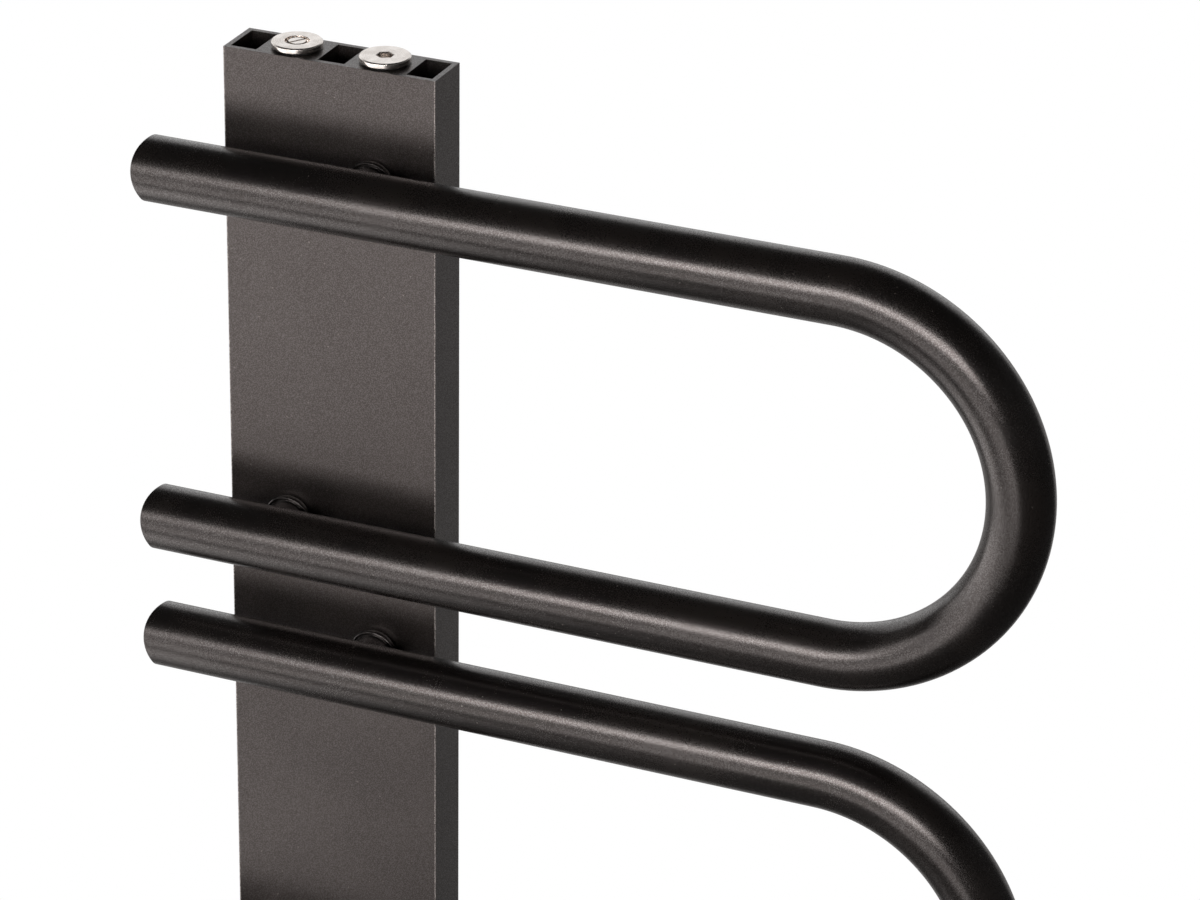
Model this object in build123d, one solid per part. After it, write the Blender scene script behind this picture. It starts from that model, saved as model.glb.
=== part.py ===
from build123d import *
import math
import os

# A wall-hung hot-water towel warmer, in millimetres.
# The wall is the plane Y = 0, the rack stands in front of it at negative Y, and Z is up.
# The origin is the middle of the four wall holes, behind the middle of the column.

# Layout of the rack
loop_count = 4
leg_spacing = 200.0         # between the two leg axes of one loop
loop_gap = 70.0             # between neighbouring leg axes of two loops
end_margin = 62.0           # from each end of the column to the nearest leg axis
leg_reach = 230.0           # from the column's right side to the centre of the bends
leg_overhang = 28.0         # from the column's left side to the tube's cut end
wall_distance = 45.0        # from the wall to the column's back
leg_standoff = 28.0         # from the column's front to the leg axes

# Loop tubes and their caps
tube_diameter = 35.0
tube_wall = 2.0
cap_crown = 10.0
cap_rim = 0.8
cap_spigot = 9.0
cap_wall = 2.0
water_hole_diameter = 10.0

# Column extrusion
column_width = 120.0
column_depth = 30.0
column_wall = 3.0
column_edge_radius = 0.5    # on the four long outer edges
channel_spacing = 50.0
channel_diameter = 17.0
channel_block_width = 35.0
port_diameter = 18.6
port_depth = 16.0

# Bosses between the legs and the column
boss_diameter = 23.0
boss_flange_diameter = 27.0
boss_flange_thickness = 3.0
boss_flange_bevel = 0.6
boss_seal_thickness = 1.5
boss_seal_inner_diameter = 14.0
boss_seal_width = 4.5

# Hollow bolts
bolt_diameter = 12.0
bolt_water_diameter = 6.4
bolt_head_width = 19.0
bolt_head_height = 7.0
bolt_tip_gap = 1.0          # from the bolt's tip to the back of the tube
bolt_clearance = 0.3
washer_diameter = 21.0
washer_thickness = 2.0

# Plugs in the top ports
plug_flange_diameter = 27.0
plug_flange_thickness = 2.8
plug_flange_bevel = 0.6
plug_thread_length = 12.0
plug_seal_thickness = 1.0
plug_seal_width = 2.4
hex_socket_width = 8.0
hex_socket_depth = 4.5

# Air vent in the left plug
vent_recess_diameter = 13.0
vent_recess_depth = 2.4
vent_screw_diameter = 5.0
vent_screw_length = 4.6
vent_head_diameter = 9.0
vent_head_height = 1.9
vent_head_gap = 0.2
vent_slot_width = 1.3
vent_slot_depth = 1.0
vent_slot_angle = 58.0      # turned from the X axis when the vent is shut
vent_bore_below_screw = 2.2
vent_seat_height = 1.6
vent_air_diameter = 2.0
vent_outlet_diameter = 1.4
needle_stem_diameter = 2.0
needle_stem_length = 2.0

# Wall brackets
bracket_plate_width = 76.0
bracket_plate_height = 40.0
bracket_plate_thickness = 4.0
bracket_plate_corner = 6.0
bracket_hole_spacing = 56.0
bracket_hole_diameter = 5.5
sleeve_diameter = 22.0
sleeve_length = 30.0
pin_diameter = 16.0
pin_length = 32.0
pin_bevel = 1.0
pin_foot_diameter = 24.0
pin_foot_thickness = 5.0
stud_diameter = 10.0
nut_plate_height = 40.0
nut_plate_thickness = 8.0
grub_diameter = 5.0
grub_socket_width = 2.5
grub_socket_depth = 2.5
grub_setback = 13.0         # from the sleeve's open end to the grub screw
grub_tip_gap = 0.1

thread_clearance = 0.05
slide_clearance = 0.05
overcut = 1.0

# Places worked out from the sizes above
column_height = 2 * end_margin + loop_count * leg_spacing + (loop_count - 1) * loop_gap
column_top = column_height / 2
loop_pitch = leg_spacing + loop_gap
column_back_y = -wall_distance
column_front_y = column_back_y - column_depth
channel_y = column_back_y - column_depth / 2
leg_y = column_front_y - leg_standoff
tube_radius = tube_diameter / 2
tube_bore_radius = tube_radius - tube_wall
tube_end_x = -column_width / 2 - leg_overhang
bend_x = column_width / 2 + leg_reach
supply_x = channel_spacing / 2
return_x = -channel_spacing / 2
boss_back_y = column_front_y - boss_seal_thickness
plug_z = column_top + plug_seal_thickness
bracket_heights = {"upper": column_top - end_margin - leg_spacing / 2}
bracket_heights["lower"] = -bracket_heights["upper"]


def upper_leg_z(loop):
    return column_top - end_margin - loop * loop_pitch


def lower_leg_z(loop):
    return upper_leg_z(loop) - leg_spacing


# The upper leg of each loop takes water from the supply channel, the lower leg gives it back
joints_to_column = [(supply_x, upper_leg_z(loop)) for loop in range(loop_count)]
joints_to_column += [(return_x, lower_leg_z(loop)) for loop in range(loop_count)]


def rod_x(diameter, x_low, x_high, y, z):
    length = x_high - x_low
    return Pos(x_low + length / 2, y, z) * Rot(0, 90, 0) * Cylinder(diameter / 2, length)


def rod_y(diameter, y_low, y_high, x, z):
    length = y_high - y_low
    return Pos(x, y_low + length / 2, z) * Rot(90, 0, 0) * Cylinder(diameter / 2, length)


def rod_z(diameter, z_low, z_high, x, y):
    length = z_high - z_low
    return Pos(x, y, z_low + length / 2) * Cylinder(diameter / 2, length)


def block(x_low, x_high, y_low, y_high, z_low, z_high):
    size = (x_high - x_low, y_high - y_low, z_high - z_low)
    return Pos((x_low + x_high) / 2, (y_low + y_high) / 2, (z_low + z_high) / 2) * Box(*size)


def turned(profile):
    # A closed outline of (radius, height) points, turned about the Z axis
    outline = Polyline(*[(radius, 0, height) for radius, height in profile], close=True)
    return revolve(make_face(outline), Axis.Z)


def column():
    body = block(-column_width / 2, column_width / 2, column_front_y, column_back_y, -column_top, column_top)
    body = fillet(body.edges().filter_by(Axis.Z), column_edge_radius)
    chamber_front = column_front_y + column_wall
    chamber_back = column_back_y - column_wall
    side_inner = channel_spacing / 2 + channel_block_width / 2
    side_outer = column_width / 2 - column_wall
    middle = channel_spacing / 2 - channel_block_width / 2
    chambers = [(-side_outer, -side_inner), (-middle, middle), (side_inner, side_outer)]
    for x_low, x_high in chambers:
        body -= block(x_low, x_high, chamber_front, chamber_back, -column_top - overcut, column_top + overcut)
    for x in (supply_x, return_x):
        body -= rod_z(channel_diameter, -column_top - overcut, column_top + overcut, x, channel_y)
        body -= rod_z(port_diameter, column_top - port_depth, column_top + overcut, x, channel_y)
        body -= rod_z(port_diameter, -column_top - overcut, -column_top + port_depth, x, channel_y)
    for x, z in joints_to_column:
        hole = bolt_diameter + 2 * bolt_clearance
        body -= rod_y(hole, column_front_y - overcut, column_back_y + overcut, x, z)
    for z in bracket_heights.values():
        stud_hole = stud_diameter + 2 * bolt_clearance
        body -= rod_y(stud_hole, chamber_back - overcut, column_back_y + overcut, 0, z)
    return body


def hairpin(diameter, upper_z, end_x):
    # A round bar along one leg, round the bend and back along the other leg
    lower_z = upper_z - leg_spacing
    upper_run = Line((end_x, leg_y, upper_z), (bend_x, leg_y, upper_z))
    crest = (bend_x + leg_spacing / 2, leg_y, (upper_z + lower_z) / 2)
    bend = ThreePointArc((bend_x, leg_y, upper_z), crest, (bend_x, leg_y, lower_z))
    lower_run = Line((bend_x, leg_y, lower_z), (end_x, leg_y, lower_z))
    section = Plane(origin=(end_x, leg_y, upper_z), z_dir=(1, 0, 0)) * Circle(diameter / 2)
    return sweep(section, Wire([upper_run, bend, lower_run]))


def loop_tube(loop):
    upper_z = upper_leg_z(loop)
    tube = hairpin(tube_diameter, upper_z, tube_end_x)
    tube -= hairpin(2 * tube_bore_radius, upper_z, tube_end_x - overcut)
    for x, z in ((supply_x, upper_z), (return_x, lower_leg_z(loop))):
        tube -= rod_y(water_hole_diameter, leg_y, leg_y + tube_diameter, x, z)
    return tube


def end_cap(z):
    # A shallow round dome with a thin rim over the tube's cut end, and a hollow spigot inside the tube
    spigot = tube_bore_radius - thread_clearance
    inside = spigot - cap_wall
    rise = cap_crown - cap_rim
    sphere = (tube_radius ** 2 + rise ** 2) / (2 * rise)
    half_angle = math.asin(tube_radius / sphere) / 2
    middle = (sphere * math.sin(half_angle), cap_crown - sphere * (1 - math.cos(half_angle)))
    dome = ThreePointArc((0, cap_crown), middle, (tube_radius, cap_rim))
    sides = Polyline((tube_radius, cap_rim), (tube_radius, 0), (spigot, 0), (spigot, -cap_spigot),
                     (inside, -cap_spigot), (inside, 0), (0, 0), (0, cap_crown))
    face = make_face(Plane.XZ * (Curve() + dome + sides))
    return Pos(tube_end_x, leg_y, z) * Rot(0, -90, 0) * revolve(face, Axis.Z)


def boss(x, z):
    # A flanged collar, turned, then coped to sit round the back of the tube
    flange = boss_flange_diameter / 2
    neck = boss_diameter / 2
    bore = bolt_diameter / 2 + thread_clearance
    length = boss_back_y - leg_y
    profile = [(bore, 0), (flange, 0), (flange, boss_flange_thickness - boss_flange_bevel),
               (flange - boss_flange_bevel, boss_flange_thickness), (neck, boss_flange_thickness),
               (neck, length), (bore, length)]
    collar = Pos(x, boss_back_y, z) * Rot(90, 0, 0) * turned(profile)
    return collar - rod_x(tube_diameter, x - boss_flange_diameter, x + boss_flange_diameter, leg_y, z)


def boss_seals():
    inner = boss_seal_inner_diameter
    outer = inner + 2 * boss_seal_width
    rings = []
    for x, z in joints_to_column:
        ring = rod_y(outer, boss_back_y, column_front_y, x, z)
        rings.append(ring - rod_y(inner, boss_back_y - overcut, column_front_y + overcut, x, z))
    return rings


def hollow_bolts():
    seat_y = column_back_y + washer_thickness
    tip_y = leg_y + tube_radius + bolt_tip_gap
    bolts = []
    for x, z in joints_to_column:
        head_plane = Plane(origin=(x, seat_y, z), x_dir=(1, 0, 0), z_dir=(0, 1, 0))
        hexagon = RegularPolygon(bolt_head_width / 2, 6, major_radius=False)
        bolt = extrude(head_plane * hexagon, bolt_head_height)
        bolt += rod_y(bolt_diameter, tip_y, seat_y, x, z)
        bolt -= rod_y(bolt_water_diameter, tip_y - overcut, channel_y + bolt_water_diameter / 2, x, z)
        bolt -= rod_z(bolt_water_diameter, z - bolt_diameter, z + bolt_diameter, x, channel_y)
        bolts.append(bolt)
    return bolts


def bolt_washers():
    washers = []
    top_y = column_back_y + washer_thickness
    for x, z in joints_to_column:
        washer = rod_y(washer_diameter, column_back_y, top_y, x, z)
        hole = rod_y(bolt_diameter + 2 * bolt_clearance, column_back_y - overcut, top_y + overcut, x, z)
        washers.append(washer - hole)
    return washers


def plug_blank():
    # A flanged plug with its flange standing on the seal, before it is drilled
    flange = plug_flange_diameter / 2
    shank = port_diameter / 2 - thread_clearance
    top = plug_flange_thickness
    bottom = -plug_seal_thickness - plug_thread_length
    profile = [(0, bottom), (shank, bottom), (shank, 0), (flange, 0), (flange, top - plug_flange_bevel),
               (flange - plug_flange_bevel, top), (0, top)]
    return turned(profile)


def blind_plug():
    hexagon = RegularPolygon(hex_socket_width / 2, 6, major_radius=False)
    socket = extrude(Plane.XY.offset(plug_flange_thickness - hex_socket_depth) * hexagon, hex_socket_depth)
    return Pos(supply_x, channel_y, plug_z) * (plug_blank() - socket)


# Heights inside the vent plug, counted from the underside of its flange
vent_floor = plug_flange_thickness - vent_recess_depth
vent_screw_bottom = vent_floor - vent_screw_length
vent_seat_top = vent_screw_bottom - vent_bore_below_screw
vent_seat_bottom = vent_seat_top - vent_seat_height
vent_bore_radius = vent_screw_diameter / 2 + slide_clearance


def vent_plug():
    # Recess, screw bore, conical seat and air hole down the middle, with a small outlet beside the screw
    recess = vent_recess_diameter / 2
    air = vent_air_diameter / 2
    top = plug_flange_thickness + overcut
    bottom = -plug_seal_thickness - plug_thread_length - overcut
    profile = [(0, bottom), (air, bottom), (air, vent_seat_bottom), (vent_bore_radius, vent_seat_top),
               (vent_bore_radius, vent_floor), (recess, vent_floor), (recess, top), (0, top)]
    outlet_x = vent_bore_radius
    outlet = rod_z(vent_outlet_diameter, vent_seat_top, vent_floor + overcut, outlet_x, 0)
    return Pos(return_x, channel_y, plug_z) * (plug_blank() - turned(profile) - outlet)


def vent_screw():
    shank = vent_screw_diameter / 2
    head = vent_head_diameter / 2
    head_bottom = vent_floor + vent_head_gap
    head_top = head_bottom + vent_head_height
    socket = needle_stem_diameter / 2 + slide_clearance
    socket_top = vent_screw_bottom + needle_stem_length + slide_clearance
    profile = [(0, socket_top), (socket, socket_top), (socket, vent_screw_bottom), (shank, vent_screw_bottom),
               (shank, head_bottom), (head, head_bottom), (head, head_top), (0, head_top)]
    slot = block(-head, head, -vent_slot_width / 2, vent_slot_width / 2, head_top - vent_slot_depth, head_top)
    return Pos(return_x, channel_y, plug_z) * (turned(profile) - Rot(0, 0, vent_slot_angle) * slot)


def vent_needle():
    # A stem in the screw's end, a collar under the screw and a cone on the plug's seat
    stem = needle_stem_diameter / 2
    collar = vent_screw_diameter / 2 - slide_clearance
    tip = vent_air_diameter / 2 - slide_clearance
    stem_top = vent_screw_bottom + needle_stem_length
    collar_top = vent_screw_bottom - slide_clearance
    neck_bottom = vent_seat_top + slide_clearance
    profile = [(0, vent_seat_bottom), (tip, vent_seat_bottom), (collar, neck_bottom), (collar, collar_top),
               (stem, collar_top), (stem, stem_top), (0, stem_top)]
    return Pos(return_x, channel_y, plug_z) * turned(profile)


def plug_seal(x):
    inner = port_diameter
    outer = inner + 2 * plug_seal_width
    ring = rod_z(outer, column_top, plug_z, x, channel_y)
    return ring - rod_z(inner, column_top - overcut, plug_z + overcut, x, channel_y)


def bracket_plate(z):
    # A wall plate with two screw holes and a sleeve, threaded from below for the grub screw
    outline = RectangleRounded(bracket_plate_width, bracket_plate_height, bracket_plate_corner)
    face = Plane(origin=(0, 0, z), x_dir=(1, 0, 0), z_dir=(0, -1, 0)) * outline
    plate = extrude(face, bracket_plate_thickness)
    sleeve_end = -bracket_plate_thickness - sleeve_length
    plate += rod_y(sleeve_diameter, sleeve_end, -bracket_plate_thickness, 0, z)
    plate -= rod_y(pin_diameter + 2 * slide_clearance, sleeve_end - overcut, -bracket_plate_thickness, 0, z)
    for side in (-1, 1):
        x = side * bracket_hole_spacing / 2
        plate -= rod_y(bracket_hole_diameter, -bracket_plate_thickness - overcut, overcut, x, z)
    grub_hole = grub_diameter + 2 * thread_clearance
    plate -= rod_z(grub_hole, z - sleeve_diameter, z, 0, sleeve_end + grub_setback)
    return plate


def bracket_pin(z):
    # The sliding pin, its foot against the column's back and its stud through the column's back wall
    foot_y = column_back_y + pin_foot_thickness
    pin = chamfer(rod_y(pin_diameter, foot_y, foot_y + pin_length, 0, z).edges().sort_by(Axis.Y)[-1], pin_bevel)
    pin += rod_y(pin_foot_diameter, column_back_y, foot_y, 0, z)
    stud_end = column_back_y - column_wall - nut_plate_thickness
    return pin + rod_y(stud_diameter, stud_end, column_back_y, 0, z)


def nut_plate(z):
    half_width = channel_spacing / 2 - channel_block_width / 2 - bolt_clearance
    back_y = column_back_y - column_wall
    half_height = nut_plate_height / 2
    plate = block(-half_width, half_width, back_y - nut_plate_thickness, back_y, z - half_height, z + half_height)
    hole = stud_diameter + 2 * thread_clearance
    return plate - rod_y(hole, back_y - nut_plate_thickness - overcut, back_y + overcut, 0, z)


def grub_screw(z):
    y = -bracket_plate_thickness - sleeve_length + grub_setback
    top = z - pin_diameter / 2 - grub_tip_gap
    bottom = z - sleeve_diameter / 2
    hexagon = RegularPolygon(grub_socket_width / 2, 6, major_radius=False)
    socket = Pos(0, y, bottom) * extrude(hexagon, grub_socket_depth)
    return rod_z(grub_diameter, bottom, top, 0, y) - socket


def nodes():
    pieces = {"column": column()}
    for loop in range(loop_count):
        name = f"loop_{loop + 1}"
        pieces[f"{name}_tube"] = loop_tube(loop)
        legs = (("upper", supply_x, upper_leg_z(loop)), ("lower", return_x, lower_leg_z(loop)))
        for leg, x, z in legs:
            pieces[f"{name}_{leg}_cap"] = end_cap(z)
            pieces[f"{name}_{leg}_boss"] = boss(x, z)
    pieces["boss_seals"] = Compound(children=boss_seals())
    pieces["hollow_bolts"] = Compound(children=hollow_bolts())
    pieces["bolt_washers"] = Compound(children=bolt_washers())
    pieces["vent_plug"] = vent_plug()
    pieces["vent_screw"] = vent_screw()
    pieces["vent_needle"] = vent_needle()
    pieces["vent_plug_seal"] = plug_seal(return_x)
    pieces["blind_plug"] = blind_plug()
    pieces["blind_plug_seal"] = plug_seal(supply_x)
    for place, z in bracket_heights.items():
        pieces[f"{place}_bracket_plate"] = bracket_plate(z)
        pieces[f"{place}_bracket_pin"] = bracket_pin(z)
        pieces[f"{place}_nut_plate"] = nut_plate(z)
        pieces[f"{place}_grub_screw"] = grub_screw(z)
    return pieces


os.makedirs("parts", exist_ok=True)
for node, shape in nodes().items():
    export_step(shape, f"parts/{node}.step")
    print(node, round(shape.volume, 1))
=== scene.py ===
import math

import bmesh
import bpy
import numpy as np
from mathutils import Matrix, Vector


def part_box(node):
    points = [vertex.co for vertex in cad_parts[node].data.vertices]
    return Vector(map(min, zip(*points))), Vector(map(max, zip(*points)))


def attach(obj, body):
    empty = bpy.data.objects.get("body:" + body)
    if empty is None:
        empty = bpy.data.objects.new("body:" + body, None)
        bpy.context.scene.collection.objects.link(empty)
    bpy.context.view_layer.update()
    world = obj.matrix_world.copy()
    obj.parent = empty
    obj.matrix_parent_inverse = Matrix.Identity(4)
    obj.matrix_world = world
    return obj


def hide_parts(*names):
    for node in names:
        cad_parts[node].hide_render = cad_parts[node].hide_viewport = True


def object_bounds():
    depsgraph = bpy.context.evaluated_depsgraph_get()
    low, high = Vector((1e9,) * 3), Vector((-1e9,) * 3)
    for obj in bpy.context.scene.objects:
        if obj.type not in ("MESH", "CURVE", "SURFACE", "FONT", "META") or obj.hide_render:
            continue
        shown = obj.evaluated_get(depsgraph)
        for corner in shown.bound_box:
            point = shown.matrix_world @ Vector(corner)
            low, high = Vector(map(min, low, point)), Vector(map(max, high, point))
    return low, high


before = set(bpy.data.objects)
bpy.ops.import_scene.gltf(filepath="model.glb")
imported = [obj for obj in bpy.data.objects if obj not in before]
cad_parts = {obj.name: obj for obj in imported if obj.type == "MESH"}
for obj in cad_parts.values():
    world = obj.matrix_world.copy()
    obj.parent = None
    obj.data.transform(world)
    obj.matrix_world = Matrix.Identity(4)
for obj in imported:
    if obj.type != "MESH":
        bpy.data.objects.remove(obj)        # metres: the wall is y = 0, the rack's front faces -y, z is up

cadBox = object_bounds()
mm = 0.001
tiny = 1e-9        # keeps a division off 0
loopCount = sum(node.startswith("loop_") and node.endswith("_tube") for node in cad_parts)


# Grids of points

# Quads between neighbouring points of a rows x columns x 3 grid, closed round either way when asked
def gridShell(points, loopRows=False, loopColumns=True):
    rows, columns = points.shape[:2]
    index = np.arange(rows * columns).reshape(rows, columns)
    if loopRows:
        index = np.vstack([index, index[:1]])
    if loopColumns:
        index = np.hstack([index, index[:, :1]])
    corners = (index[:-1, :-1], index[:-1, 1:], index[1:, 1:], index[1:, :-1])
    return points.reshape(-1, 3), np.stack(corners, axis=-1).reshape(-1, 4)


def stepAngles(steps):
    return np.linspace(0.0, 2 * np.pi, steps, endpoint=False)


axisFrames = {"x": ((1, 0, 0), (0, 1, 0), (0, 0, 1)),
              "y": ((0, 1, 0), (0, 0, 1), (1, 0, 0)),
              "z": ((0, 0, 1), (1, 0, 0), (0, 1, 0))}


# point(i, a) = centre + along(i, a) * axis + radius(i, a) * (cos a * sideA + sin a * sideB)
def spin(radius, along, centre, axis, steps):
    main, sideA, sideB = (np.array(direction, float) for direction in axisFrames[axis])
    angle = stepAngles(steps)
    spokes = np.outer(np.cos(angle), sideA) + np.outer(np.sin(angle), sideB)
    radius = np.broadcast_to(np.asarray(radius, float).reshape(len(radius), -1), (len(radius), steps))
    along = np.broadcast_to(np.asarray(along, float).reshape(len(along), -1), (len(along), steps))
    return np.array(centre, float) + along[..., None] * main + radius[..., None] * spokes


# Each corner of a profile gives way to a short parabola, (1-t)^2 start + 2t(1-t) corner + t^2 end,
# which takes no more than the given share of a side
def softCorners(profile, size, closed=True, count=4, share=0.45):
    corner = np.array(profile, float)
    before = np.roll(corner, 1, axis=0) - corner
    after = np.roll(corner, -1, axis=0) - corner
    lengthBefore = np.linalg.norm(before, axis=1, keepdims=True)
    lengthAfter = np.linalg.norm(after, axis=1, keepdims=True)
    reach = np.minimum(size, share * np.minimum(lengthBefore, lengthAfter))
    start = (corner + before / lengthBefore * reach)[:, None]
    end = (corner + after / lengthAfter * reach)[:, None]
    t = np.linspace(0.0, 1.0, count)[None, :, None]
    curve = (1 - t) ** 2 * start + 2 * t * (1 - t) * corner[:, None] + t ** 2 * end
    if not closed:
        curve[0] = corner[0]
        curve[-1] = corner[-1]
    return curve.reshape(-1, 2)


# radius(a) of a hexagon = half its width across flats / cos(angle from the nearest flat's middle)
def hexRadius(acrossFlats, steps):
    fromFlat = (stepAngles(steps) + math.pi / 6) % (math.pi / 3) - math.pi / 6
    return acrossFlats / 2 / np.cos(fromFlat)


# Walks once round a rectangle, the same count of points on each side
def rectangleOutline(uLow, uHigh, vLow, vHigh, perSide):
    t = np.linspace(0.0, 1.0, perSide, endpoint=False)
    one = np.ones_like(t)
    u = np.concatenate([uLow + (uHigh - uLow) * t, uHigh * one, uHigh - (uHigh - uLow) * t, uLow * one])
    v = np.concatenate([vLow * one, vLow + (vHigh - vLow) * t, vHigh * one, vHigh - (vHigh - vLow) * t])
    return np.column_stack([u, v])


# The hole's point on the ray from its centre to the outline's point: centre + radius * unit(ray)
def roundHole(outline, centre, radius):
    ray = outline - np.array(centre)
    return np.array(centre) + radius * ray / np.linalg.norm(ray, axis=1, keepdims=True)


# A flat outline (u, v) lifted to the height w: plane xy stands for (u, v, w), plane xz for (u, w, v)
def lifted(outline, w, plane):
    u, v = outline.T
    height = np.full(len(outline), w)
    return np.column_stack((u, v, height) if plane == "xy" else (u, height, v))


def nodeBox(node):
    low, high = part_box(node)
    return np.array(low), np.array(high)


meshRules = {"weld": 0.002 * mm, "sharpAngle": 35.0, "bevelSegments": 2, "bevelAngle": 60.0}


# Stacks shells into one closed mesh, welds their seams and poles, and hangs it on its body
def makePiece(name, shells, finish, body, nodes, sharpAngle=meshRules["sharpAngle"], bevel=0.0):
    starts = np.cumsum([0] + [len(shell[0]) for shell in shells])
    points = np.vstack([shell[0] for shell in shells])
    quads = np.vstack([shell[1] + start for shell, start in zip(shells, starts)])
    mesh = bpy.data.meshes.new(name)
    mesh.from_pydata(points.tolist(), [], quads.tolist())
    welded = bmesh.new()
    welded.from_mesh(mesh)
    bmesh.ops.remove_doubles(welded, verts=welded.verts, dist=meshRules["weld"])
    bmesh.ops.recalc_face_normals(welded, faces=welded.faces)
    welded.to_mesh(mesh)
    welded.free()
    mesh.shade_smooth()
    mesh.set_sharp_from_angle(angle=math.radians(sharpAngle))
    mesh.materials.append(finish)
    piece = bpy.data.objects.new(name, mesh)
    bpy.context.scene.collection.objects.link(piece)
    if bevel:
        edges = piece.modifiers.new("softEdges", "BEVEL")
        edges.width = bevel
        edges.segments = meshRules["bevelSegments"]
        edges.limit_method = "ANGLE"
        edges.angle_limit = math.radians(meshRules["bevelAngle"])
        edges.harden_normals = True
    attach(piece, body)
    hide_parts(*nodes)
    return piece


# Node graphs

class Value:
    def __init__(self, graph, socket):
        self.graph = graph
        self.socket = socket

    def math(self, operation, *others):
        return self.graph.add("ShaderNodeMath", {"operation": operation}, dict(enumerate((self,) + others)))

    def reflected(self, operation, other):
        return self.graph.add("ShaderNodeMath", {"operation": operation}, {0: other, 1: self})

    def __add__(self, other):
        return self.math("ADD", other)

    def __sub__(self, other):
        return self.math("SUBTRACT", other)

    def __mul__(self, other):
        return self.math("MULTIPLY", other)

    def __radd__(self, other):
        return self.reflected("ADD", other)

    def __rsub__(self, other):
        return self.reflected("SUBTRACT", other)

    def __rmul__(self, other):
        return self.reflected("MULTIPLY", other)

    def smooth(self, low, high):
        steps = {"Value": self, "From Min": low, "From Max": high, "To Min": 0.0, "To Max": 1.0}
        return self.graph.add("ShaderNodeMapRange", {"interpolation_type": "SMOOTHSTEP"}, steps)


class Graph:
    def __init__(self, tree):
        self.tree = tree
        tree.nodes.clear()

    # Settings first, because some of them change which sockets a node has
    def add(self, kind, settings=None, sockets=None, output=0):
        node = self.tree.nodes.new(kind)
        for name, value in (settings or {}).items():
            setattr(node, name, value)
        for name, value in (sockets or {}).items():
            if isinstance(value, Value):
                self.tree.links.new(value.socket, node.inputs[name])
            else:
                node.inputs[name].default_value = value
        return None if output is None else Value(self, node.outputs[output])

    def place(self, kind="Object"):
        return self.add("ShaderNodeTexCoord", None, None, kind)

    def along(self, vector, axis):
        return self.add("ShaderNodeSeparateXYZ", None, {0: vector}, axis)

    def ray(self, kind):
        return self.add("ShaderNodeLightPath", None, None, f"Is {kind} Ray")

    def noise(self, place, scale, detail=2.0, roughness=0.5):
        sockets = {"Vector": place, "Scale": scale, "Detail": detail, "Roughness": roughness}
        return self.add("ShaderNodeTexNoise", None, sockets)

    def blend(self, amount, first, second):
        return self.add("ShaderNodeMix", {"data_type": "RGBA"}, {0: amount, 6: first, 7: second}, 2)

    def vector(self, operation, first, second=None, output=0):
        sockets = {0: first} if second is None else {0: first, 1: second}
        return self.add("ShaderNodeVectorMath", {"operation": operation}, sockets, output)

    def scaled(self, colour, amount):
        return self.add("ShaderNodeVectorMath", {"operation": "SCALE"}, {0: colour[:3], "Scale": amount})

    def bump(self, height, look):
        sockets = {"Strength": look["bump"], "Distance": look["bumpDepth"], "Height": height}
        return self.add("ShaderNodeBump", None, sockets)

    def glow(self, colour):
        return self.add("ShaderNodeEmission", None, {"Color": colour, "Strength": 1.0})

    def mixShader(self, amount, first, second):
        return self.add("ShaderNodeMixShader", None, {0: amount, 1: first, 2: second})

    def principled(self, sockets):
        self.show(self.add("ShaderNodeBsdfPrincipled", None, sockets))

    def show(self, surface, kind="Material"):
        self.add(f"ShaderNodeOutput{kind}", None, {"Surface": surface}, None)


def newFinish(name):
    material = bpy.data.materials.new(name)
    material.use_nodes = True
    return material, Graph(material.node_tree)


def rgb(red, green, blue):
    return (red, green, blue, 1.0)


# Finishes

tubeCoatLook = {
    "dark": rgb(0.0030, 0.0026, 0.0024), "light": rgb(0.0050, 0.0043, 0.0040),
    "brown": rgb(0.010, 0.0076, 0.0064), "brownShare": 0.45,
    "fleck": rgb(0.14, 0.125, 0.115), "fleckShare": 0.6,
    # The pale edge colour, its share and its range paint a highlight along edges, standing in for a lit edge
    # line
    "paintedHighlight": rgb(0.42, 0.39, 0.37), "paintedHighlightShare": 0.7, "grainTurn": (0.5, 0.9, 0.4),
    "grainPerMetre": 1500.0, "peelPerMetre": 480.0, "cloudPerMetre": 16.0, "fleckPerMetre": 620.0,
    "glintRange": (0.46, 0.60), "paintedHighlightRange": (0.40, 0.55),
    "cloudRange": (0.35, 0.70), "fleckRange": (0.855, 0.90),
    "roughness": 0.27, "grainRoughness": 0.10, "cloudRoughness": 0.06,
    "grainHeight": 0.45, "peelHeight": 0.55, "bump": 0.18, "bumpDepth": 0.12 * mm,
    "specular": 0.62, "tint": rgb(1.0, 0.90, 0.875),
    "sheen": 0.03, "sparkle": 0.92, "cloudSheen": 0.12, "skin": 0.26}
columnCoatLook = dict(tubeCoatLook, light=rgb(0.010, 0.0084, 0.0077), tint=rgb(1.0, 0.87, 0.835),
                      specular=0.78, grainPerMetre=1800.0, roughness=0.36, bump=0.6,
                      sheen=0.02, sparkle=0.96, skin=0.30)
bracketCoatLook = dict(tubeCoatLook, peelPerMetre=300.0, cloudPerMetre=40.0, roughness=0.40)


# 1 within a width of the long edges of an upright box, where a pale painted highlight goes
def longEdges(graph, place, low, high, width):
    mask = 1.0
    for axis in (0, 1):
        away = (graph.along(place, axis) - (low[axis] + high[axis]) / 2).math("ABSOLUTE")
        half = (high[axis] - low[axis]) / 2
        mask = away.smooth(half - width, half - width / 3) * mask
    return mask
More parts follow.
